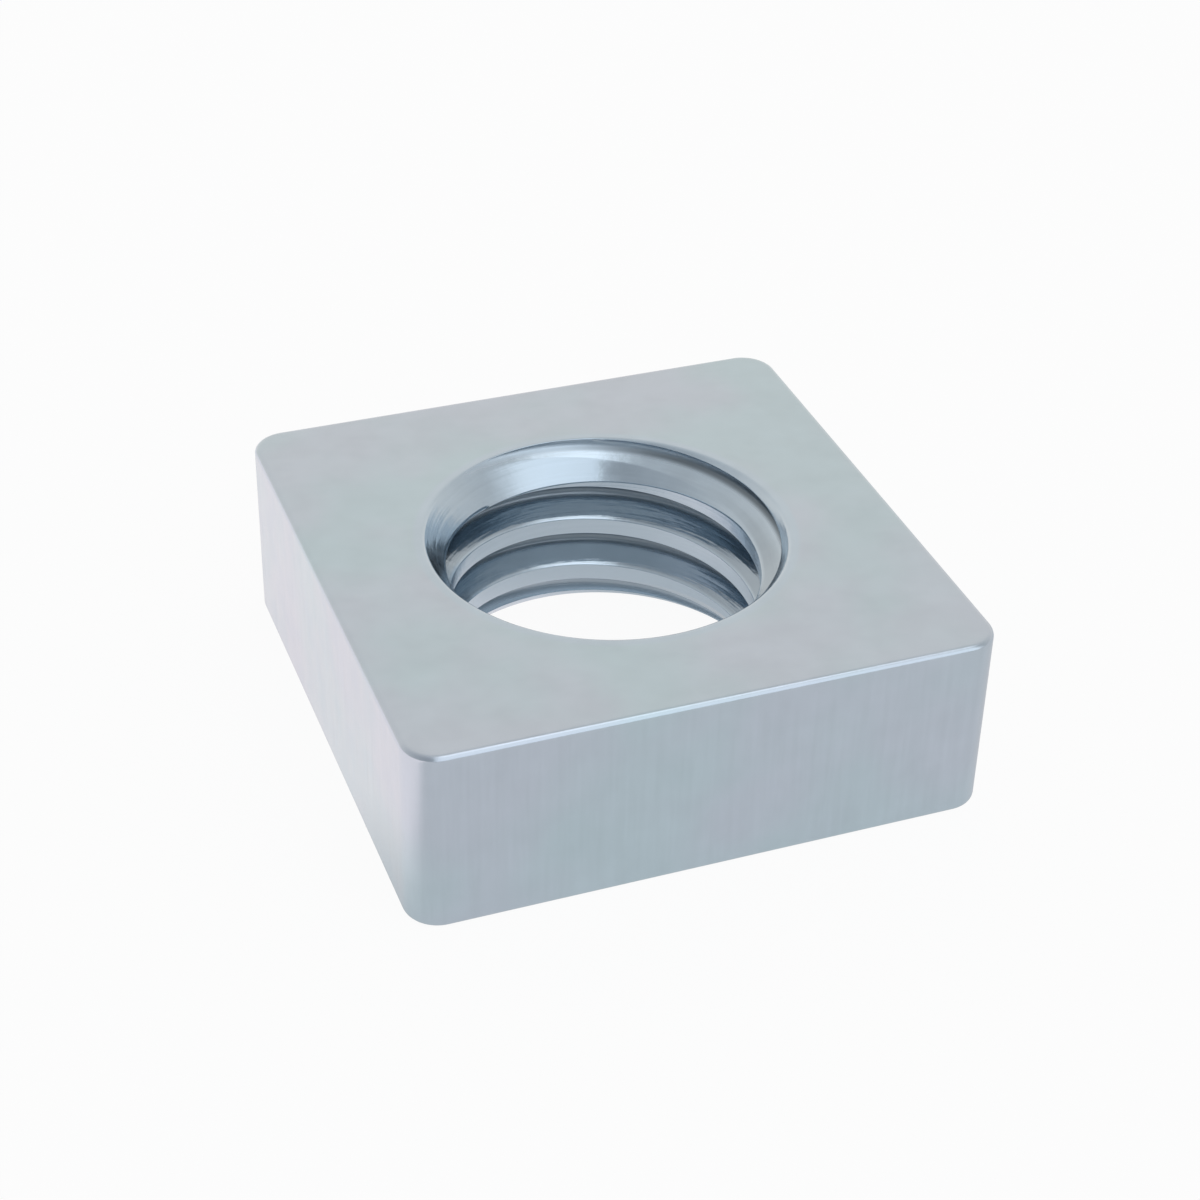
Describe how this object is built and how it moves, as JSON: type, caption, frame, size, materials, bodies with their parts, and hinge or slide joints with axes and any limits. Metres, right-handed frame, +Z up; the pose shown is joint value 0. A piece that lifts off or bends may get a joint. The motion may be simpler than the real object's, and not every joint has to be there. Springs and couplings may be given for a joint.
{
  "type": "square nut",
  "caption": "Thin square nut with a right-hand metric thread through its centre, countersunk on both faces, zinc-plated steel.",
  "frame": {"origin": "on the thread's axis, in the plane of the bottom bearing face", "axes": "+Z up the thread's axis; the four flat sides face +X, -X, +Y and -Y"},
  "size_m": [0.008, 0.008, 0.0027],
  "materials": {
    "zinc_plated_steel": "satin"
  },
  "bodies": {
    "root": {"square_nut": "zinc_plated_steel"}
  },
  "joints": []
}
